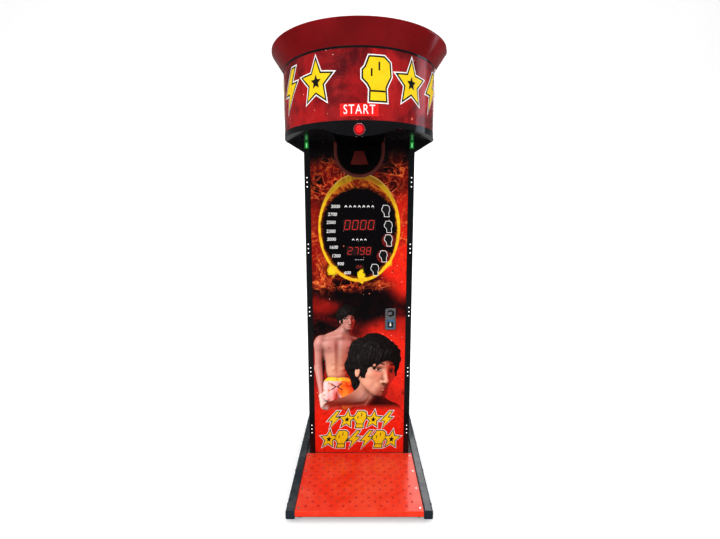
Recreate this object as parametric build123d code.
# Boxing punch machine: a tower on a tread platform, a round head, and a drop-down punch bag.
# Millimetres. +Z is up, the front faces -Y, and +X is the right-hand side seen from the front.
# The origin is on the floor below the head's vertical axis, which lies in the tower's front plane.
from build123d import *
from math import cos, radians, sin, sqrt
import os

os.makedirs("parts", exist_ok=True)

# ---- driving dimensions -------------------------------------------------------------------
# clearances
panel_gap = 0.3          # between neighbouring sheets that don't carry each other
running_gap = 0.05       # radial, shafts and pins in their bores
slide_gap = 0.1          # radial, push buttons in their guides
soft_gap = 0.3           # padded pieces to their neighbours
door_gap = 2.0           # all round the rear door

# platform
platform_margin = 17.5   # how far the platform stands out beside the tower
platform_half_depth = 444.0
platform_top = 60.0
rail_width = 43.0
rail_lip = 5.0           # how far the side rails stand above the tread plate
rail_wall = 3.0
rail_radius = 7.0
frame_bottom = 20.0      # height of the levelling feet
frame_tube = 36.0
frame_wall = 3.0
tread_thickness = 3.0
front_lip = 24.0         # folded front edge of the tread plate
foot_radius = 26.0
foot_inset = 60.0
tread_screw_radius = 5.0
tread_screw_rows = 4
tread_screw_inset = 14.0
wheel_radius = 24.0
wheel_width = 22.0
wheel_offset = 190.0
wheel_axle_radius = 6.0
wheel_floor_gap = 4.0
wheel_fork_wall = 4.0

# tower
tower_half_width = 284.5
tower_depth = 372.0
tower_top = 1797.0
post_size = 30.0
post_wall = 2.0
sheet_wall = 2.0
print_recess = 3.0       # front print behind the posts' front faces
print_thickness = 3.0
panel_thickness = 3.0
upright_size = 30.0
upright_wall = 2.5

# rows of small lamps in the posts
led_groups = 5
led_first_height = 211.0
led_group_pitch = 345.75
led_pitch = 23.0
led_per_group = 3
led_inset = 13.5         # from the tower's side faces
led_radius = 4.0
led_rim_radius = 5.5
led_rim_height = 2.0
led_body_length = 8.0
strip_width = 10.0
strip_thickness = 2.0
green_lamp_size = (20.0, 6.0, 34.0)

# scoring displays: half width, half height, centre height, centre across
strike_display_size = (87.0, 29.5, 1373.0, 0.0)
record_display_size = (68.5, 24.0, 1235.0, 0.0)
credit_display_size = (21.0, 11.0, 1149.0, 0.0)
display_proud = 1.0      # display faces behind the print's front face
display_depth = 16.0
board_thickness = 2.0
board_margin = 16.0

# coin acceptor
coin_x = 171.0
coin_z = 859.0
coin_half_width = 30.0
coin_half_height = 60.0
coin_plate_thickness = 4.0
coin_plate_radius = 5.0
reject_radius = 9.0
reject_rise = 34.0       # above the acceptor's centre
reject_proud = 5.0
coin_slot_width = 3.4
coin_slot_height = 30.0
coin_slot_offset = 18.0
return_half_width = 17.0
return_top = -13.0
return_bottom = -49.0
flap_thickness = 1.6
flap_pin_radius = 1.6
mech_depth = 90.0
mech_margin = 3.0
chute_wall = 1.5
cash_wall = 1.5
cash_size = (150.0, 170.0, 200.0)

# rear door, lock and mains inlet
door_half_width = 190.0
door_bottom = 260.0
door_top = 1420.0
hinge_length = 60.0
hinge_pin_radius = 3.0
hinge_knuckle_radius = 6.0
hinge_leaf = 2.0
hinge_leaf_width = 26.0
hinge_heights = (400.0, 1280.0)
lock_radius = 9.5
lock_inset = 22.0
lock_height = 840.0
cam_length = 40.0
inlet_x = 150.0
inlet_z = 150.0
inlet_half_width = 24.0
inlet_half_height = 32.0
socket_half = (12.0, 8.5)
socket_depth = 17.0
rocker_radius = 11.0
rocker_half_width = 8.0
rocker_throw = 18.0
rocker_flat_angle = 12.0

# head
drum_radius = 370.0      # outside of the shell
drum_wall = 3.0
wrap_thickness = 2.0
drum_top = 2112.0
head_plate_thickness = 3.0
wrap_bottom = 1822.0
trim_height = 8.0
trim_depth = 3.5
fascia_thickness = 3.7
fascia_half_width = 165.0
fascia_bottom = 1757.0
crown_radius = 425.0
machine_height = 2200.0
crown_rim = 10.0
crown_wall = 3.0
cover_height = 2150.0
skirt_drop = 51.0
skirt_radius = 289.0
skirt_wall = 3.0

# punch bag and its mechanism
pivot_inset = 160.0      # from the drum's front to the pivot
pivot_z = 2010.0
bag_radius = 105.0
bag_start = 136.0        # from the pivot to the bag's neck
bag_reach = 415.0        # from the pivot to the bag's far end
bag_clearance = 15.0
bag_hole_gap = 3.0       # from the recess's liner to the hole in the head's floor, each side
bag_hole_margin = 17.0   # ahead of the hanging bag
notch_gap = 13.0         # beside the bag, each side
notch_centre_height = 1750.0
guard_width = 9.0
guard_proud = 7.0
liner_wall = 2.0
liner_flange = 30.0
stop_pad_thickness = 5.0
stop_pad_heights = (1690.0, 1772.0)
stop_pad_half_widths = (48.0, 25.0)
shaft_radius = 12.5
shaft_half_length = 176.0
hub_radius = 24.0
hub_half_width = 30.0
arm_size = 40.0
neck_radius = 58.0
neck_thickness = 6.0
bearing_offset = 150.0
bearing_width = 30.0
bearing_length = 90.0
bearing_height = 56.0
mech_tube = 30.0
mech_rail_gap = 27.0     # from the rails' ends to the drum
mech_wall = 3.0
mech_rail_top = 1980.0
armature_size = (96.0, 52.0, 6.0)
armature_distance = 76.0  # from the pivot to the armature's centre
magnet_radius = 23.0
magnet_height = 36.0
bridge_thickness = 6.0
buffer_radius = 9.0
encoder_radius = 36.0
encoder_thickness = 2.0
encoder_offset = 171.0
sensor_size = (18.0, 40.0, 36.0)

# start button
start_z = 1785.0
start_bezel_radius = 23.0
start_cap_radius = 14.5
start_travel = 3.5
start_cap_proud = 7.0
start_bezel_proud = 5.0
switch_depth = 22.0

# electronics
supply_size = (170.0, 100.0, 90.0)
control_size = (200.0, 260.0)
standoff_length = 12.0
speaker_inset = 135.0    # from the drum's side
speaker_y = -120.0
speaker_radius = 55.0
grille_hole_radius = 4.0
grille_pitch = 14.0

# ---- derived places -----------------------------------------------------------------------
platform_half_width = tower_half_width + platform_margin
led_offset = tower_half_width - led_inset
pivot_y = pivot_inset - drum_radius
bag_hole_front = pivot_y - bag_radius - bag_hole_margin
notch_half_width = bag_radius + notch_gap
bag_hole_half_width = notch_half_width + bag_hole_gap
rail_outside = bearing_offset + mech_tube / 2
mech_rail_rear = sqrt((drum_radius - drum_wall) ** 2 - rail_outside ** 2) - mech_rail_gap
mech_rail_front = -mech_rail_rear
speaker_x = drum_radius - speaker_inset
rail_inner = platform_half_width
rail_outer = platform_half_width + rail_width
print_front = print_recess
print_back = print_front + print_thickness
panel_back = print_back + panel_thickness
front_half_width = tower_half_width - post_size
front_bottom = platform_top + 1.0
front_top = tower_top - 1.0
rear_inside = tower_depth - sheet_wall
head_plate_top = tower_top + head_plate_thickness
wrap_radius = drum_radius + wrap_thickness
liner_radius = bag_reach + bag_clearance
arm_top = pivot_z + arm_size / 2
armature_top = arm_top + armature_size[2]
bridge_bottom = armature_top + soft_gap + magnet_height
led_heights = [
    led_first_height + group * led_group_pitch + (lamp - (led_per_group - 1) / 2) * led_pitch
    for group in range(led_groups)
    for lamp in range(led_per_group)
]
displays = (strike_display_size, record_display_size, credit_display_size)


# ---- building blocks ----------------------------------------------------------------------
def block(x, y, z):
    """A box from its (low, high) pairs along each axis."""
    size = [high - low for low, high in (x, y, z)]
    centre = [(high + low) / 2 for low, high in (x, y, z)]
    return Pos(*centre) * Box(*size)


def mirrored(shape):
    """The same piece on the other side of the machine."""
    return mirror(shape, about=Plane.YZ)


def rod(axis, centre, radius, low, high):
    """A round bar along X, Y or Z, from low to high, whose other two coordinates are centre."""
    middle = (low + high) / 2
    turns = {"X": Rot(0, 90, 0), "Y": Rot(90, 0, 0), "Z": Rot(0, 0, 0)}
    places = {
        "X": Pos(middle, centre[0], centre[1]),
        "Y": Pos(centre[0], middle, centre[1]),
        "Z": Pos(centre[0], centre[1], middle),
    }
    return places[axis] * turns[axis] * Cylinder(radius, high - low)


def ring(inner, outer, low, high):
    """An upright ring about the head's axis."""
    return rod("Z", (0, 0), outer, low, high) - rod("Z", (0, 0), inner, low - 1, high + 1)


def tube(x, y, z, wall, along):
    """A square tube, open at both ends along the named axis."""
    pairs = {"X": x, "Y": y, "Z": z}
    inner = {
        name: (low - 1, high + 1) if name == along else (low + wall, high - wall)
        for name, (low, high) in pairs.items()
    }
    return block(x, y, z) - block(inner["X"], inner["Y"], inner["Z"])


def turned(points, degrees=360):
    """A solid turned about the head's axis from a closed outline of (radius, height) points."""
    outline = Plane.XZ * make_face(Polyline(*points, close=True))
    return revolve(outline, Axis.Z, degrees)


def front_profile(edges, low, high):
    """A plate between two depths, from a closed outline drawn in X and Z."""
    face = make_face(edges)
    return extrude(Plane((0, low, 0), x_dir=(1, 0, 0), z_dir=(0, -1, 0)) * face, -(high - low))


def notch_cut(half_width, low, high):
    """The round-bottomed notch that the bag swings through, as a cutter between two depths."""
    centre = notch_centre_height
    top = tower_top + 10
    edges = [
        Line((-half_width, top), (-half_width, centre)),
        ThreePointArc((-half_width, centre), (0, centre - half_width), (half_width, centre)),
        Line((half_width, centre), (half_width, top)),
        Line((half_width, top), (-half_width, top)),
    ]
    return front_profile(edges, low, high)


# ---- platform -----------------------------------------------------------------------------
def make_base_frame():
    """Welded square tubes that carry the tread plate and the tower."""
    half = platform_half_width - panel_gap
    top = platform_top - tread_thickness
    low = top - frame_tube
    front = -platform_half_depth + 12
    rear = tower_depth
    frame = Part()
    for x_low in (-half, half - frame_tube):
        frame += tube((x_low, x_low + frame_tube), (front, rear), (low, top), frame_wall, "Y")
    inner = half - frame_tube
    for y_low in (front, -frame_tube, rear - frame_tube):
        frame += tube((-inner, inner), (y_low, y_low + frame_tube), (low, top), frame_wall, "X")
    return frame


def make_levelling_feet():
    """Six round pads on threaded stems under the frame."""
    seat = platform_top - tread_thickness - frame_tube
    across = platform_half_width - frame_tube / 2
    feet = []
    for x in (-across, across):
        for y in (-platform_half_depth + foot_inset, -foot_inset / 2, tower_depth - foot_inset):
            pad = rod("Z", (x, y), foot_radius, 0, 8)
            nut = rod("Z", (x, y), 11, 8, seat)
            feet.append(chamfer(pad.edges().group_by(Axis.Z)[-1], 2) + nut)
    return Part() + feet


def make_tread_plate():
    """Folded steel plate that the player stands on, with its front edge turned down."""
    half = platform_half_width - panel_gap
    top = block((-half, half), (-platform_half_depth, -1), (platform_top - tread_thickness, platform_top))
    lip = block(
        (-half, half),
        (-platform_half_depth, -platform_half_depth + tread_thickness),
        (platform_top - front_lip - tread_thickness, platform_top),
    )
    plate = top + lip
    front_edge = plate.edges().filter_by(Axis.X).sort_by(lambda edge: edge.center().Y - edge.center().Z)[0]
    plate = fillet(front_edge, tread_thickness - 0.5)
    return plate - make_tread_screws()


def make_tread_screws():
    """Screws near the side edges of the tread plate, flush with its top."""
    across = platform_half_width - tread_screw_inset
    span = platform_half_depth - 2 * tread_screw_inset - 20
    screws = []
    for x in (-across, across):
        for row in range(tread_screw_rows):
            y = -platform_half_depth + tread_screw_inset + 10 + span * row / (tread_screw_rows - 1)
            screws.append(rod("Z", (x, y), tread_screw_radius, platform_top - tread_thickness, platform_top))
    return Part() + screws


def make_rail():
    """Box rail along the right side of the platform, a little higher than the plate."""
    top = platform_top + rail_lip
    outer = block(
        (rail_inner, rail_outer), (-platform_half_depth, platform_half_depth), (frame_bottom, top)
    )
    outer = fillet(outer.edges().filter_by(Axis.Y), rail_radius)
    inner = block(
        (rail_inner + rail_wall, rail_outer - rail_wall),
        (-platform_half_depth + rail_wall, platform_half_depth - rail_wall),
        (frame_bottom + rail_wall, top - rail_wall),
    )
    return outer - fillet(inner.edges().filter_by(Axis.Y), rail_radius - rail_wall)


def make_wheel_forks():
    """Two brackets with axles behind the frame, for rolling the tilted machine away."""
    seat = tower_depth
    centre_y = seat + wheel_radius + 5
    centre_z = wheel_floor_gap + wheel_radius
    top = platform_top - tread_thickness
    cheek = wheel_width / 2 + 1.5
    forks = []
    for side in (-1, 1):
        x = side * wheel_offset
        fork = block(
            (x - cheek - wheel_fork_wall, x + cheek + wheel_fork_wall),
            (seat, seat + wheel_fork_wall),
            (frame_bottom + 1, top),
        )
        for low in (x - cheek - wheel_fork_wall, x + cheek):
            fork += block((low, low + wheel_fork_wall), (seat, centre_y + 10), (centre_z - 9, top))
        span = cheek + wheel_fork_wall + 4
        fork += rod("X", (centre_y, centre_z), wheel_axle_radius, x - span, x + span)
        forks.append(fork)
    return Part() + forks


def make_wheel(side):
    """A solid rubber-tyred wheel on its axle."""
    x = side * wheel_offset
    centre = (tower_depth + wheel_radius + 5, wheel_floor_gap + wheel_radius)
    wheel = rod("X", centre, wheel_radius, x - wheel_width / 2, x + wheel_width / 2)
    wheel = fillet(wheel.edges(), 3)
    bore = wheel_axle_radius + running_gap
    return wheel - rod("X", centre, bore, x - wheel_width, x + wheel_width)


# ---- tower --------------------------------------------------------------------------------
def make_tower_floor():
    """Steel plate that closes the tower's bottom and carries the cash box and power supply."""
    half = platform_half_width - panel_gap
    low = platform_top - tread_thickness
    return block((-half, half), (0, tower_depth), (low, platform_top))


def make_tower_frame():
    """Rear uprights with ties, which carry the side and rear panels."""
    outer = tower_half_width - sheet_wall
    inner = outer - upright_size
    rear = rear_inside
    frame = Part()
    for x in ((-outer, -inner), (inner, outer)):
        frame += tube(x, (rear - upright_size, rear), (platform_top, tower_top), upright_wall, "Z")
    for low in (platform_top, door_top + 120, tower_top - upright_size):
        z = (low, low + upright_size)
        frame += tube((-inner, inner), (rear - upright_size, rear), z, upright_wall, "X")
        for x in ((-outer, -inner), (inner, outer)):
            frame += tube(x, (post_size, rear - upright_size), z, upright_wall, "Y")
    return frame


def make_side_panel():
    """Right side sheet, from the corner post to the rear."""
    return block(
        (tower_half_width - sheet_wall, tower_half_width),
        (post_size, tower_depth),
        (platform_top, tower_top),
    )


def make_corner_post():
    """Right front post: a square tube drilled for the rows of lamps."""
    x = (tower_half_width - post_size, tower_half_width)
    post = tube(x, (0, post_size), (platform_top, tower_top), post_wall, "Z")
    post = fillet(post.edges().filter_by(Axis.Z).sort_by(lambda edge: edge.center().Y)[0:1], 1.5)
    holes = [rod("Y", (led_offset, z), led_radius + running_gap, -1, post_wall + 1) for z in led_heights]
    return post - holes


def make_led_lenses():
    """Domed lamp lenses pressed into the right post, each with a rim that seats on its face."""
    lenses = []
    for z in led_heights:
        rim = rod("Y", (led_offset, z), led_rim_radius, -led_rim_height, 0)
        rim = fillet(rim.edges().sort_by(Axis.Y)[0], led_rim_height * 0.8)
        lenses.append(rim + rod("Y", (led_offset, z), led_radius, 0, led_body_length))
    return Part() + lenses


def make_led_strip():
    """Circuit strip behind the right post's lamps."""
    half = strip_width / 2
    return block(
        (led_offset - half, led_offset + half),
        (led_body_length, led_body_length + strip_thickness),
        (led_heights[0] - 60, led_heights[-1] + 60),
    )


def make_green_lamps():
    """One green marker lamp at the top of each post."""
    wide, deep, tall = green_lamp_size
    x_low = tower_half_width - post_size / 2 - wide / 2
    lamp = block((x_low, x_low + wide), (-deep, 0), (tower_top - tall, tower_top))
    lamp = fillet(lamp.faces().sort_by(Axis.Y)[0].edges(), 2)
    return Part() + [lamp, mirrored(lamp)]


def window_cuts(low, high, gap):
    """Cutters for the three display windows and the coin mechanism."""
    cuts = []
    for half_width, half_height, z, x in displays:
        cuts.append(
            block(
                (x - half_width - gap, x + half_width + gap),
                (low, high),
                (z - half_height - gap, z + half_height + gap),
            )
        )
    half = coin_half_width - mech_margin + gap
    tall = coin_half_height - mech_margin + gap
    cuts.append(block((coin_x - half, coin_x + half), (low, high), (coin_z - tall, coin_z + tall)))
    return cuts


def make_front_sheet(front, back):
    """A front layer of the tower: the printed sheet, or the steel panel behind it."""
    half = front_half_width - panel_gap
    sheet = block((-half, half), (front, back), (front_bottom, front_top))
    sheet -= notch_cut(notch_half_width, front - 1, back + 1)
    return sheet - window_cuts(front - 1, back + 1, panel_gap)


def make_display(half_width, half_height, z, x):
    """A display housing with a shallow lip round its digit window."""
    front = print_front + display_proud
    back = front + display_depth
    housing = block(
        (x - half_width, x + half_width), (front, back), (z - half_height, z + half_height)
    )
    rim = 2.0
    return housing - block(
        (x - half_width + rim, x + half_width - rim),
        (front - 1, front + 1.5),
        (z - half_height + rim, z + half_height - rim),
    )


def make_display_board():
    """Circuit board behind the displays, on four spacers from the steel panel."""
    front = print_front + display_proud + display_depth
    half = strike_display_size[0] + board_margin
    low = credit_display_size[2] - credit_display_size[1] - board_margin
    high = strike_display_size[2] + strike_display_size[1] + board_margin
    board = block((-half, half), (front, front + board_thickness), (low, high))
    for x in (-half + 7, half - 7):
        for z in (low + 7, high - 7):
            board += rod("Y", (x, z), 4, panel_back, front)
    return board


# ---- coin acceptor ------------------------------------------------------------------------
def make_coin_faceplate():
    """Polished coin entry plate with its reject button hole, coin slot and return window."""
    front = print_front - coin_plate_thickness
    plate = block(
        (coin_x - coin_half_width, coin_x + coin_half_width),
        (front, print_front),
        (coin_z - coin_half_height, coin_z + coin_half_height),
    )
    plate = fillet(plate.edges().filter_by(Axis.Y), coin_plate_radius)
    plate = chamfer(plate.faces().sort_by(Axis.Y)[0].edges(), 1)
    deep = (front - 1, print_front + 1)
    bore = reject_radius + slide_gap
    plate -= rod("Y", (coin_x - 8, coin_z + reject_rise), bore, *deep)
    slot_x = coin_x + coin_slot_offset
    slot_z = coin_z + reject_rise
    plate -= block(
        (slot_x - coin_slot_width / 2, slot_x + coin_slot_width / 2),
        deep,
        (slot_z - coin_slot_height / 2, slot_z + coin_slot_height / 2),
    )
    window = return_half_width - 1.5
    return plate - block(
        (coin_x - window, coin_x + window), deep, (coin_z + return_bottom + 2, coin_z + return_top - 1)
    )


def make_reject_button():
    """Round push button that frees a jammed coin."""
    front = print_front - coin_plate_thickness - reject_proud
    button = rod("Y", (coin_x - 8, coin_z + reject_rise), reject_radius, front, print_front + 6)
    return fillet(button.edges().sort_by(Axis.Y)[0], 2)


def make_coin_flap():
    """Return flap that hangs from its own pin behind the window and is pushed inwards."""
    top = coin_z + return_top
    pin_y = print_front + flap_thickness + 1
    leaf = block(
        (coin_x - return_half_width, coin_x + return_half_width),
        (pin_y - flap_thickness / 2, pin_y + flap_thickness / 2),
        (coin_z + return_bottom, top),
    )
    pin_half = return_half_width + 5
    return leaf + rod("X", (pin_y, top), flap_pin_radius, coin_x - pin_half, coin_x + pin_half)


def make_coin_mech():
    """Coin validator body with the coin way, the return pocket and the flap's bearings."""
    half = coin_half_width - mech_margin
    tall = coin_half_height - mech_margin
    mech = block(
        (coin_x - half, coin_x + half),
        (print_front, print_front + mech_depth),
        (coin_z - tall, coin_z + tall),
    )
    pocket = return_half_width + 1
    pocket_back = print_front + 42
    pocket_top = coin_z + return_top + flap_pin_radius + 2
    pocket_low = coin_z + return_bottom - 1
    pocket_x = (coin_x - pocket, coin_x + pocket)
    mech -= block(pocket_x, (print_front - 1, pocket_back), (pocket_low, pocket_top))
    pin_y = print_front + flap_thickness + 1
    pin_z = coin_z + return_top
    pin_bore = flap_pin_radius + running_gap
    pin_span = return_half_width + 5.3
    mech -= rod("X", (pin_y, pin_z), pin_bore, coin_x - pin_span, coin_x + pin_span)
    bore = reject_radius + 0.5
    mech -= rod("Y", (coin_x - 8, coin_z + reject_rise), bore, print_front - 1, print_front + 12)
    slot_x = coin_x + coin_slot_offset
    return mech - block(
        (slot_x - coin_slot_width / 2, slot_x + coin_slot_width / 2),
        (print_front - 1, print_front + 60),
        (coin_z - 10, coin_z + reject_rise + coin_slot_height / 2),
    )


def make_coin_chute():
    """Rectangular duct that drops accepted coins into the cash box."""
    top = coin_z - coin_half_height + mech_margin
    low = platform_top + cash_size[2] + 2
    x = (coin_x - 21, coin_x + 21)
    return tube(x, (print_front + 52, print_front + 82), (low, top), chute_wall, "Z")


def make_cash_box():
    """Open-topped steel box on the tower floor."""
    wide, deep, tall = cash_size
    x = (coin_x - wide / 2, coin_x + wide / 2)
    y = (panel_back + 12, panel_back + 12 + deep)
    z = (platform_top, platform_top + tall)
    inner_x = (x[0] + cash_wall, x[1] - cash_wall)
    inner_y = (y[0] + cash_wall, y[1] - cash_wall)
    return block(x, y, z) - block(inner_x, inner_y, (z[0] + cash_wall, z[1] + 1))


# ---- rear panel, door and inlet -----------------------------------------------------------
def make_rear_panel():
    """Rear sheet with the door opening and the mains inlet's cut-out."""
    half = tower_half_width - sheet_wall
    deep = (rear_inside, tower_depth)
    panel = block((-half, half), deep, (platform_top, tower_top))
    cut = (rear_inside - 1, tower_depth + 1)
    opening = door_half_width + door_gap
    panel -= block((-opening, opening), cut, (door_bottom - door_gap, door_top + door_gap))
    half_x = inlet_half_width - 4
    half_z = inlet_half_height - 4
    return panel - block(
        (inlet_x - half_x, inlet_x + half_x), cut, (inlet_z - half_z, inlet_z + half_z)
    )


def hinge_axis():
    """Where the rear door turns, in X and Y."""
    return (-door_half_width - door_gap / 2, tower_depth + hinge_knuckle_radius)


def make_door_hinges():
    """The fixed halves of the door's hinges: a leaf, a lower knuckle and its pin."""
    x, y = hinge_axis()
    hinges = []
    for z in hinge_heights:
        knuckle = rod("Z", (x, y), hinge_knuckle_radius, z, z + hinge_length / 2 - panel_gap)
        pin = rod("Z", (x, y), hinge_pin_radius, z, z + hinge_length)
        leaf = block(
            (x - hinge_leaf_width, x),
            (tower_depth, tower_depth + hinge_leaf),
            (z, z + hinge_length / 2 - panel_gap),
        )
        hinges.append(knuckle + pin + leaf)
    return Part() + hinges


def make_rear_door():
    """Service door with the moving hinge knuckles and the lock's hole."""
    door = block((-door_half_width, door_half_width), (rear_inside, tower_depth), (door_bottom, door_top))
    door = fillet(door.edges().filter_by(Axis.Y), 4)
    x, y = hinge_axis()
    bore = hinge_pin_radius + running_gap
    for z in hinge_heights:
        low = z + hinge_length / 2
        knuckle = rod("Z", (x, y), hinge_knuckle_radius, low, z + hinge_length)
        leaf = block(
            (x, x + hinge_leaf_width),
            (tower_depth, tower_depth + hinge_leaf),
            (low, z + hinge_length),
        )
        door += knuckle + leaf
        door -= rod("Z", (x, y), bore, low - 1, z + hinge_length + 1)
    lock_x = door_half_width - lock_inset
    bore = lock_radius + running_gap
    return door - rod("Y", (lock_x, lock_height), bore, rear_inside - 1, tower_depth + 1)


def make_door_lock():
    """Cam lock: barrel with a key slot, and a cam that stands upright when unlocked."""
    x = door_half_width - lock_inset
    barrel = rod("Y", (x, lock_height), lock_radius, rear_inside - 10, tower_depth + 3)
    barrel += rod("Y", (x, lock_height), lock_radius + 3, tower_depth, tower_depth + 3)
    cam_deep = (rear_inside - 10, rear_inside - 7)
    barrel += block((x - 8, x + 8), cam_deep, (lock_height - 8, lock_height + cam_length))
    slot_z = (lock_height - 4, lock_height + 4)
    return barrel - block((x - 0.8, x + 0.8), (tower_depth - 4, tower_depth + 4), slot_z)


def make_power_inlet():
    """Mains inlet with its flange, the hollow for the lead's connector and the switch's well."""
    flange = block(
        (inlet_x - inlet_half_width, inlet_x + inlet_half_width),
        (tower_depth, tower_depth + 2.5),
        (inlet_z - inlet_half_height, inlet_z + inlet_half_height),
    )
    flange = fillet(flange.edges().filter_by(Axis.Y), 4)
    half_x = inlet_half_width - 4 - panel_gap
    half_z = inlet_half_height - 4 - panel_gap
    inlet = flange + block(
        (inlet_x - half_x, inlet_x + half_x),
        (tower_depth - 34, tower_depth + 1),
        (inlet_z - half_z, inlet_z + half_z),
    )
    socket_z = inlet_z - 12
    inlet -= block(
        (inlet_x - socket_half[0], inlet_x + socket_half[0]),
        (tower_depth + 2.5 - socket_depth, tower_depth + 4),
        (socket_z - socket_half[1], socket_z + socket_half[1]),
    )
    return inlet - rod("X", rocker_axis(), rocker_radius + slide_gap, *rocker_span(slide_gap))


def rocker_axis():
    """Where the mains switch's rocker turns, in Y and Z."""
    return (tower_depth - 4, inlet_z + 15)


def rocker_span(gap):
    """The rocker's ends along X, with a gap added at each."""
    return (inlet_x - rocker_half_width - gap, inlet_x + rocker_half_width + gap)


def make_power_rocker():
    """Mains rocker in its off position: a round-backed key with a flat on each half."""
    y, z = rocker_axis()
    key = rod("X", (y, z), rocker_radius, *rocker_span(0))
    for tilt in (-rocker_flat_angle, rocker_flat_angle):
        cutter = Pos(inlet_x, y, z) * Rot(tilt - rocker_throw / 2, 0, 0) * Pos(0, rocker_radius + 6, 0)
        key -= cutter * Box(rocker_half_width * 3, 8.5, rocker_radius * 3)
    return key


# ---- head ---------------------------------------------------------------------------------
def make_head_plate():
    """Round floor of the head that also closes the tower, with the bag's way and a grille."""
    low, high = tower_top, head_plate_top
    plate = rod("Z", (0, 0), drum_radius, low, high)
    plate += block((-tower_half_width, tower_half_width), (0, tower_depth), (low, high))
    half = bag_hole_half_width
    rear = pivot_y + sqrt((liner_radius + liner_wall) ** 2 - (pivot_z - tower_top) ** 2) + 1
    hole = block((-half, half), (bag_hole_front, rear), (low - 1, high + 1))
    hole = fillet(hole.edges().filter_by(Axis.Z).group_by(Axis.Y)[0], 40)
    plate -= hole
    holes = []
    for ring_number, count in ((0, 1), (1, 6), (2, 12)):
        for step in range(count):
            turn = 2 * 180 * step / count
            x = speaker_x + ring_number * grille_pitch * cos(radians(turn))
            y = speaker_y + ring_number * grille_pitch * sin(radians(turn))
            holes.append(rod("Z", (x, y), grille_hole_radius, low - 1, high + 1))
    return plate - holes - start_button_relief()


def start_button_relief():
    """Cutter that clears the start button's bezel and nut from the head's floor and wall."""
    return rod("Y", (0, start_z), start_bezel_radius + 1, -drum_radius - 20, -drum_radius + 20)


def make_drum_shell():
    """Rolled steel wall of the head, relieved at its foot for the start button."""
    wall = ring(drum_radius - drum_wall, drum_radius, head_plate_top, drum_top)
    return wall - start_button_relief()


def make_head_wrap():
    """Printed sheet wrapped round the drum."""
    return ring(drum_radius, wrap_radius, wrap_bottom, drum_top - trim_height)


def make_fascia_ring():
    """Black lip round the bottom of the drum, deepened at the front to hold the start button."""
    inner = drum_radius
    outer = inner + fascia_thickness
    lip = ring(inner, outer, tower_top, wrap_bottom)
    dip = ring(inner, outer, fascia_bottom - 5, tower_top + 5)
    half = fascia_half_width
    edges = [
        Line((-half, tower_top + 5), (-half, tower_top)),
        ThreePointArc((-half, tower_top), (0, fascia_bottom), (half, tower_top)),
        Line((half, tower_top), (half, tower_top + 5)),
        Line((half, tower_top + 5), (-half, tower_top + 5)),
    ]
    lip += dip & front_profile(edges, -outer - 5, -inner / 2)
    side = tower_half_width + panel_gap
    lip -= block((-side, side), (0, outer + 5), (tower_top - 1, head_plate_top))
    return lip - rod("Y", (0, start_z), start_bezel_radius - 5, -outer - 5, -inner / 2)


def make_trim_ring():
    """Black ring between the print and the crown."""
    return ring(drum_radius, drum_radius + trim_depth, drum_top - trim_height, drum_top)


def make_crown():
    """Flared sheet-metal crown with a rolled rim, standing on the trim ring."""
    seat = drum_radius
    low = drum_top
    rim_low = machine_height - crown_rim
    outer = crown_radius
    points = [
        (seat, low),
        (seat + crown_wall, low),
        (outer - 1, rim_low),
        (outer, rim_low + 2),
        (outer, machine_height - 2),
        (outer - 2, machine_height),
        (outer - 5, machine_height),
        (outer - 7, machine_height - 2),
        (outer - 7, rim_low + 2),
        (outer - 1 - crown_wall * 2, rim_low + 1),
        (seat, low + 4),
    ]
    return turned(points)


def make_top_cover():
    """Shallow lid that closes the drum inside the crown."""
    outer = drum_radius - 1
    inner = drum_radius - drum_wall
    points = [
        (0, cover_height - 3),
        (inner, cover_height - 3),
        (inner, drum_top),
        (outer, drum_top),
        (outer, cover_height - 2),
        (outer - 2, cover_height),
        (0, cover_height),
    ]
    return turned(points)


def make_skirt():
    """Right-hand sheet gusset that carries the head's floor down to the tower's side."""
    low = tower_top - skirt_drop
    slant = (wrap_radius - skirt_radius) / skirt_drop
    wall = skirt_wall * sqrt(1 + slant ** 2)
    core = 200.0
    shell = turned([(core, low), (skirt_radius, low), (wrap_radius, tower_top), (core, tower_top)])
    inner = turned(
        [
            (core - 1, low - 1),
            (skirt_radius - slant - wall, low - 1),
            (wrap_radius - wall + slant, tower_top + 1),
            (core - 1, tower_top + 1),
        ]
    )
    inner &= block((0, 500), (skirt_wall, 500), (low - 5, tower_top + 5))
    keep = block((tower_half_width, 500), (0, 500), (low, tower_top))
    return (shell - inner) & keep


# ---- bag well -----------------------------------------------------------------------------
def make_notch_guard():
    """Padded collar round the edge of the notch in the tower's front."""
    outer = notch_half_width + guard_width
    front = print_front - guard_proud
    opening = notch_cut(notch_half_width - 4, front - 1, print_front + 1)
    collar = notch_cut(outer, front, print_front) - opening
    collar -= block((-200, 200), (-50, 50), (tower_top - 1, tower_top + 50))
    return fillet(collar.faces().sort_by(Axis.Y)[0].edges(), guard_proud / 2)


def turned_about_pivot(outline, start, sweep):
    """A solid turned about the bag's pivot; the outline gives (across, distance) points."""
    plane = Plane((0, pivot_y, pivot_z), x_dir=(1, 0, 0), z_dir=(0, 0, 1))
    face = plane * outline
    axis = Axis((0, pivot_y, pivot_z), (1, 0, 0))
    return revolve(face, axis, -sweep).rotate(axis, -start)


def well_outline(half_width, radius):
    """Round-ended outline of the bag well's section, from the pivot outwards."""
    centre = liner_radius - notch_half_width
    edges = [
        Line((-half_width, 150), (-half_width, centre)),
        ThreePointArc((-half_width, centre), (0, radius), (half_width, centre)),
        Line((half_width, centre), (half_width, 150)),
        Line((half_width, 150), (-half_width, 150)),
    ]
    return make_face(edges)


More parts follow.
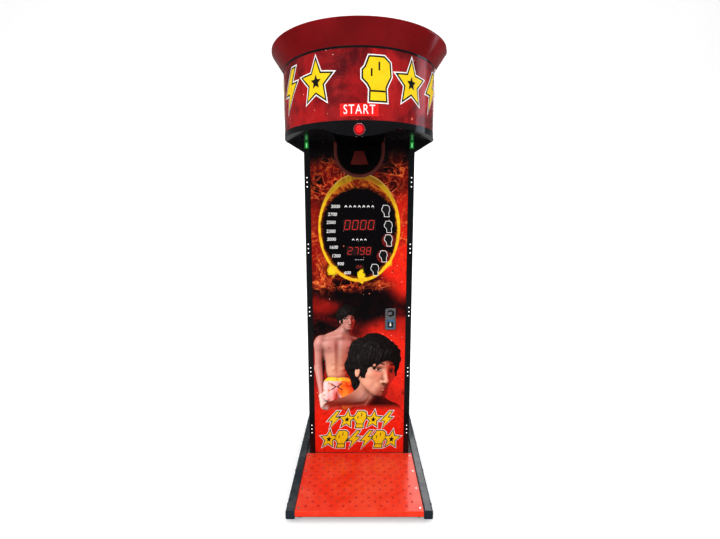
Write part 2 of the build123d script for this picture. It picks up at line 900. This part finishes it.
def make_recess_liner():
    """Trough that follows the bag's swing inside the tower, with a flange behind the panel."""
    outline = well_outline(notch_half_width + liner_wall, liner_radius + liner_wall)
    outer = turned_about_pivot(outline, 20, 50)
    inner = turned_about_pivot(well_outline(notch_half_width, liner_radius), 15, 60)
    back = pivot_y + liner_radius + 20
    keep = block((-200, 200), (panel_back, back), (tower_top - 220, tower_top))
    trough = (outer - inner) & keep
    half = notch_half_width + liner_flange
    low = notch_centre_height - half
    flange = block((-half, half), (panel_back, panel_back + liner_wall), (low, tower_top))
    flange -= outer
    flange -= notch_cut(notch_half_width, panel_back - 1, panel_back + 10)
    return trough + flange


def make_stop_pad():
    """Tapered rubber pad on the trough's floor."""
    layers = []
    for inset in (soft_gap, stop_pad_thickness):
        outline = well_outline(notch_half_width - inset, liner_radius - inset)
        layers.append(turned_about_pivot(outline, 20, 50))
    low, high = stop_pad_heights
    bottom, top = stop_pad_half_widths
    edges = Polyline((-bottom, low), (bottom, low), (top, high), (-top, high), close=True)
    return (layers[0] - layers[1]) & front_profile(edges, panel_back + 4, rear_inside)


# ---- punch bag and mechanism --------------------------------------------------------------
def make_bag_shaft():
    """Steel shaft that the bag's arm hangs on."""
    shaft = rod("X", (pivot_y, pivot_z), shaft_radius, -shaft_half_length, shaft_half_length)
    return chamfer(shaft.edges(), 1)


def make_bag_arm():
    """Hub, square arm and round neck plate, welded together."""
    hub = rod("X", (pivot_y, pivot_z), hub_radius, -hub_half_width, hub_half_width)
    half = arm_size / 2
    neck = pivot_y + bag_start
    arm = hub + block((-half, half), (pivot_y, neck - neck_thickness), (pivot_z - half, pivot_z + half))
    arm += rod("Y", (0, pivot_z), neck_radius, neck - neck_thickness, neck)
    return arm - rod("X", (pivot_y, pivot_z), shaft_radius + running_gap, -50, 50)


def make_punch_bag():
    """Padded bag: a short cylinder with a shallow shoulder and a round end."""
    start = bag_start + soft_gap
    straight = bag_reach - bag_radius
    shoulder = 30.0
    edges = [
        Line((0, start), (bag_radius - shoulder, start)),
        RadiusArc((bag_radius - shoulder, start), (bag_radius, start + shoulder), -shoulder),
        Line((bag_radius, start + shoulder), (bag_radius, straight)),
        RadiusArc((bag_radius, straight), (0, bag_reach), -bag_radius),
        Line((0, bag_reach), (0, start)),
    ]
    plane = Plane((0, pivot_y, pivot_z), x_dir=(1, 0, 0), z_dir=(0, 0, 1))
    return revolve(plane * make_face(edges), Axis((0, pivot_y, pivot_z), (0, 1, 0)))


def make_armature_plate():
    """Soft-iron plate on the arm that the holding magnet grips."""
    wide, deep, tall = armature_size
    y = pivot_y + armature_distance
    return block((-wide / 2, wide / 2), (y - deep / 2, y + deep / 2), (arm_top, arm_top + tall))


def make_encoder_disc():
    """Slotted disc on the shaft's end whose speed gives the punch's strength."""
    disc = rod("X", (pivot_y, pivot_z), encoder_radius, encoder_offset, encoder_offset + encoder_thickness)
    disc -= rod("X", (pivot_y, pivot_z), shaft_radius + running_gap, encoder_offset - 1, encoder_offset + 5)
    slots = []
    for step in range(18):
        slot = Pos(encoder_offset, 0, encoder_radius - 6) * Box(10, 3, 6)
        slots.append(Pos(0, pivot_y, pivot_z) * Rot(20 * step, 0, 0) * slot)
    return disc - slots


def make_bearing_blocks():
    """Two pillow blocks on the mechanism's rails."""
    half = bearing_width / 2
    blocks = []
    for x in (-bearing_offset, bearing_offset):
        foot = block(
            (x - half, x + half),
            (pivot_y - bearing_length / 2, pivot_y + bearing_length / 2),
            (mech_rail_top, mech_rail_top + 12),
        )
        crest = rod("X", (pivot_y, pivot_z), bearing_height / 2, x - half, x + half)
        body = foot + crest
        body += block(
            (x - half, x + half),
            (pivot_y - bearing_height / 2, pivot_y + bearing_height / 2),
            (mech_rail_top, pivot_z),
        )
        bore = shaft_radius + running_gap
        blocks.append(body - rod("X", (pivot_y, pivot_z), bore, x - half - 1, x + half + 1))
    return Part() + blocks


def make_mechanism_frame():
    """Rails on legs inside the head, with a front tie and the magnet's bridge."""
    low = mech_rail_top - mech_tube
    half = mech_tube / 2
    frame = Part()
    for x in (-bearing_offset, bearing_offset):
        x_pair = (x - half, x + half)
        frame += tube(x_pair, (mech_rail_front, mech_rail_rear), (low, mech_rail_top), mech_wall, "Y")
        for y_low in (mech_rail_front, mech_rail_rear - mech_tube):
            frame += tube(x_pair, (y_low, y_low + mech_tube), (head_plate_top, low), mech_wall, "Z")
    inner = bearing_offset - half
    for y_low in (mech_rail_front, mech_rail_rear - mech_tube):
        frame += tube((-inner, inner), (y_low, y_low + mech_tube), (low, mech_rail_top), mech_wall, "X")
    y = pivot_y + armature_distance
    deep = (y - armature_size[1] / 2, y + armature_size[1] / 2)
    outer = bearing_offset + half
    frame += block((-outer, outer), deep, (bridge_bottom, bridge_bottom + bridge_thickness))
    for x in (-bearing_offset, bearing_offset):
        web_x = (x - half + 12, x + half - 12)
        frame += block(web_x, (deep[0] + 20, deep[1]), (mech_rail_top, bridge_bottom))
    return frame


def make_holding_magnet():
    """Electromagnet under the bridge that holds the raised bag."""
    y = pivot_y + armature_distance
    coil = rod("Z", (0, y), magnet_radius, armature_top + soft_gap, bridge_bottom)
    return fillet(coil.edges().group_by(Axis.Z)[0], 1.5)


def make_rubber_buffers():
    """Rubber stops: two beside the magnet and one on the front tie."""
    y = pivot_y + armature_distance
    x = armature_size[0] / 2 - buffer_radius
    low = armature_top + soft_gap
    stops = [rod("Z", (side * x, y), buffer_radius, low, bridge_bottom) for side in (-1, 1)]
    arm_front = pivot_y - arm_size / 2
    height = mech_rail_top - mech_tube / 2
    tie = mech_rail_front + mech_tube
    stops.append(rod("Y", (0, height), buffer_radius + 4, tie, arm_front - soft_gap))
    return Part() + stops


def make_speed_sensor():
    """Forked light sensor round the encoder disc's edge, with its bracket on the rail."""
    wide, deep, tall = sensor_size
    middle = encoder_offset + encoder_thickness / 2
    front = pivot_y - bearing_length / 2 - 20
    low = mech_rail_top
    bracket = block((bearing_offset - 10, middle + wide / 2), (front, front + 18), (low, low + 5))
    inner = bearing_offset + bearing_width / 2 + panel_gap
    body = block((inner, middle + wide / 2), (front, front + deep), (low + 5, low + 5 + tall))
    disc_edge = pivot_y - encoder_radius
    slot = block((middle - 3, middle + 3), (disc_edge - 4, front + deep + 1), (low, low + tall + 10))
    return (bracket + body) - slot


# ---- start button -------------------------------------------------------------------------
def fascia_front():
    """Depth of the fascia's front face on the centre line."""
    return -(drum_radius + fascia_thickness)


def make_start_bezel():
    """Round bezel with the button's guide and a nut behind the fascia."""
    front = fascia_front()
    bezel = rod("Y", (0, start_z), start_bezel_radius, front - start_bezel_proud, front + 0.9)
    bezel = fillet(bezel.edges().sort_by(Axis.Y)[0], 3)
    bezel += rod("Y", (0, start_z), start_bezel_radius - 5 - panel_gap, front, front + 12)
    nut = rod("Y", (0, start_z), start_bezel_radius - 1, front + fascia_thickness + 1, front + 10)
    bezel += nut
    face = ring(drum_radius - 60, drum_radius + fascia_thickness, start_z - 40, start_z + 40)
    wall = face - ring(drum_radius - 61, drum_radius, start_z - 41, start_z + 41)
    bezel -= wall & block((-40, 40), (-450, 0), (start_z - 60, start_z + 60)) - rod(
        "Y", (0, start_z), start_bezel_radius - 5, -450, 0
    )
    return bezel - rod("Y", (0, start_z), start_cap_radius + slide_gap, front - 20, front + 40)


def make_start_button():
    """Lit push button with its plunger."""
    front = fascia_front() - start_cap_proud
    cap = rod("Y", (0, start_z), start_cap_radius, front, fascia_front() + 8)
    cap = fillet(cap.edges().sort_by(Axis.Y)[0], 3)
    return cap + rod("Y", (0, start_z), 4, fascia_front() + 8, fascia_front() + 12)


def make_start_switch():
    """Micro-switch block behind the button, on the bezel's back."""
    low = fascia_front() + 12
    frame = block((-17, 17), (low, low + switch_depth), (start_z - 12, start_z + 12))
    return frame - rod("Y", (0, start_z), 5, low - 1, low + start_travel + 1)


# ---- electronics --------------------------------------------------------------------------
def make_power_supply():
    """Vented power supply on the tower floor."""
    wide, deep, tall = supply_size
    x_low = -tower_half_width + sheet_wall + 40
    case = block((x_low, x_low + wide), (170, 170 + deep), (platform_top, platform_top + tall))
    return fillet(case.edges().filter_by(Axis.Z), 3)


def make_control_board():
    """Control board on stand-offs from the left side panel."""
    deep, tall = control_size
    wall = -tower_half_width + sheet_wall
    board_x = wall + standoff_length
    y_low = 90
    z_low = 960
    board = block((board_x, board_x + board_thickness), (y_low, y_low + deep), (z_low, z_low + tall))
    for y in (y_low + 12, y_low + deep - 12):
        for z in (z_low + 12, z_low + tall - 12):
            board += rod("X", (y, z), 4, wall, board_x)
    top = board_x + board_thickness
    board += block((top, top + 14), (y_low + 40, y_low + 90), (z_low + 150, z_low + 200))
    board += block((top, top + 25), (y_low + 130, y_low + 170), (z_low + 40, z_low + 90))
    return board


def make_speaker():
    """Round loudspeaker standing over the grille in the head's floor."""
    low = head_plate_top
    basket = Cone(speaker_radius, 24, 34)
    basket = Pos(speaker_x, speaker_y, low + 5 + 17) * basket
    basket += rod("Z", (speaker_x, speaker_y), speaker_radius + 5, low, low + 5)
    return basket + rod("Z", (speaker_x, speaker_y), 30, low + 39, low + 55)


# ---- all pieces ---------------------------------------------------------------------------
rail = make_rail()
side_panel = make_side_panel()
corner_post = make_corner_post()
led_lenses = make_led_lenses()
led_strip = make_led_strip()
skirt = make_skirt()

pieces = {
    "base_frame": make_base_frame(),
    "levelling_feet": make_levelling_feet(),
    "tread_plate": make_tread_plate(),
    "tread_screws": make_tread_screws(),
    "left_rail": mirrored(rail),
    "right_rail": rail,
    "wheel_forks": make_wheel_forks(),
    "left_wheel": make_wheel(-1),
    "right_wheel": make_wheel(1),
    "tower_floor": make_tower_floor(),
    "tower_frame": make_tower_frame(),
    "left_side_panel": mirrored(side_panel),
    "right_side_panel": side_panel,
    "corner_posts": Part() + [corner_post, mirrored(corner_post)],
    "led_lenses": Part() + [led_lenses, mirrored(led_lenses)],
    "led_strips": Part() + [led_strip, mirrored(led_strip)],
    "green_lamps": make_green_lamps(),
    "front_print": make_front_sheet(print_front, print_back),
    "front_panel": make_front_sheet(print_back, panel_back),
    "score_displays": Part() + [make_display(*size) for size in displays],
    "display_board": make_display_board(),
    "coin_faceplate": make_coin_faceplate(),
    "reject_button": make_reject_button(),
    "coin_flap": make_coin_flap(),
    "coin_mech": make_coin_mech(),
    "coin_chute": make_coin_chute(),
    "cash_box": make_cash_box(),
    "rear_panel": make_rear_panel(),
    "door_hinges": make_door_hinges(),
    "rear_door": make_rear_door(),
    "door_lock": make_door_lock(),
    "power_inlet": make_power_inlet(),
    "power_rocker": make_power_rocker(),
    "power_supply": make_power_supply(),
    "control_board": make_control_board(),
    "head_plate": make_head_plate(),
    "speaker": make_speaker(),
    "drum_shell": make_drum_shell(),
    "head_wrap": make_head_wrap(),
    "fascia_ring": make_fascia_ring(),
    "trim_ring": make_trim_ring(),
    "crown": make_crown(),
    "top_cover": make_top_cover(),
    "head_skirts": Part() + [skirt, mirrored(skirt)],
    "notch_guard": make_notch_guard(),
    "recess_liner": make_recess_liner(),
    "stop_pad": make_stop_pad(),
    "mechanism_frame": make_mechanism_frame(),
    "bearing_blocks": make_bearing_blocks(),
    "bag_shaft": make_bag_shaft(),
    "bag_arm": make_bag_arm(),
    "punch_bag": make_punch_bag(),
    "armature_plate": make_armature_plate(),
    "encoder_disc": make_encoder_disc(),
    "speed_sensor": make_speed_sensor(),
    "holding_magnet": make_holding_magnet(),
    "rubber_buffers": make_rubber_buffers(),
    "start_bezel": make_start_bezel(),
    "start_button": make_start_button(),
    "start_switch": make_start_switch(),
}

for name, shape in pieces.items():
    export_step(shape, f"parts/{name}.step")
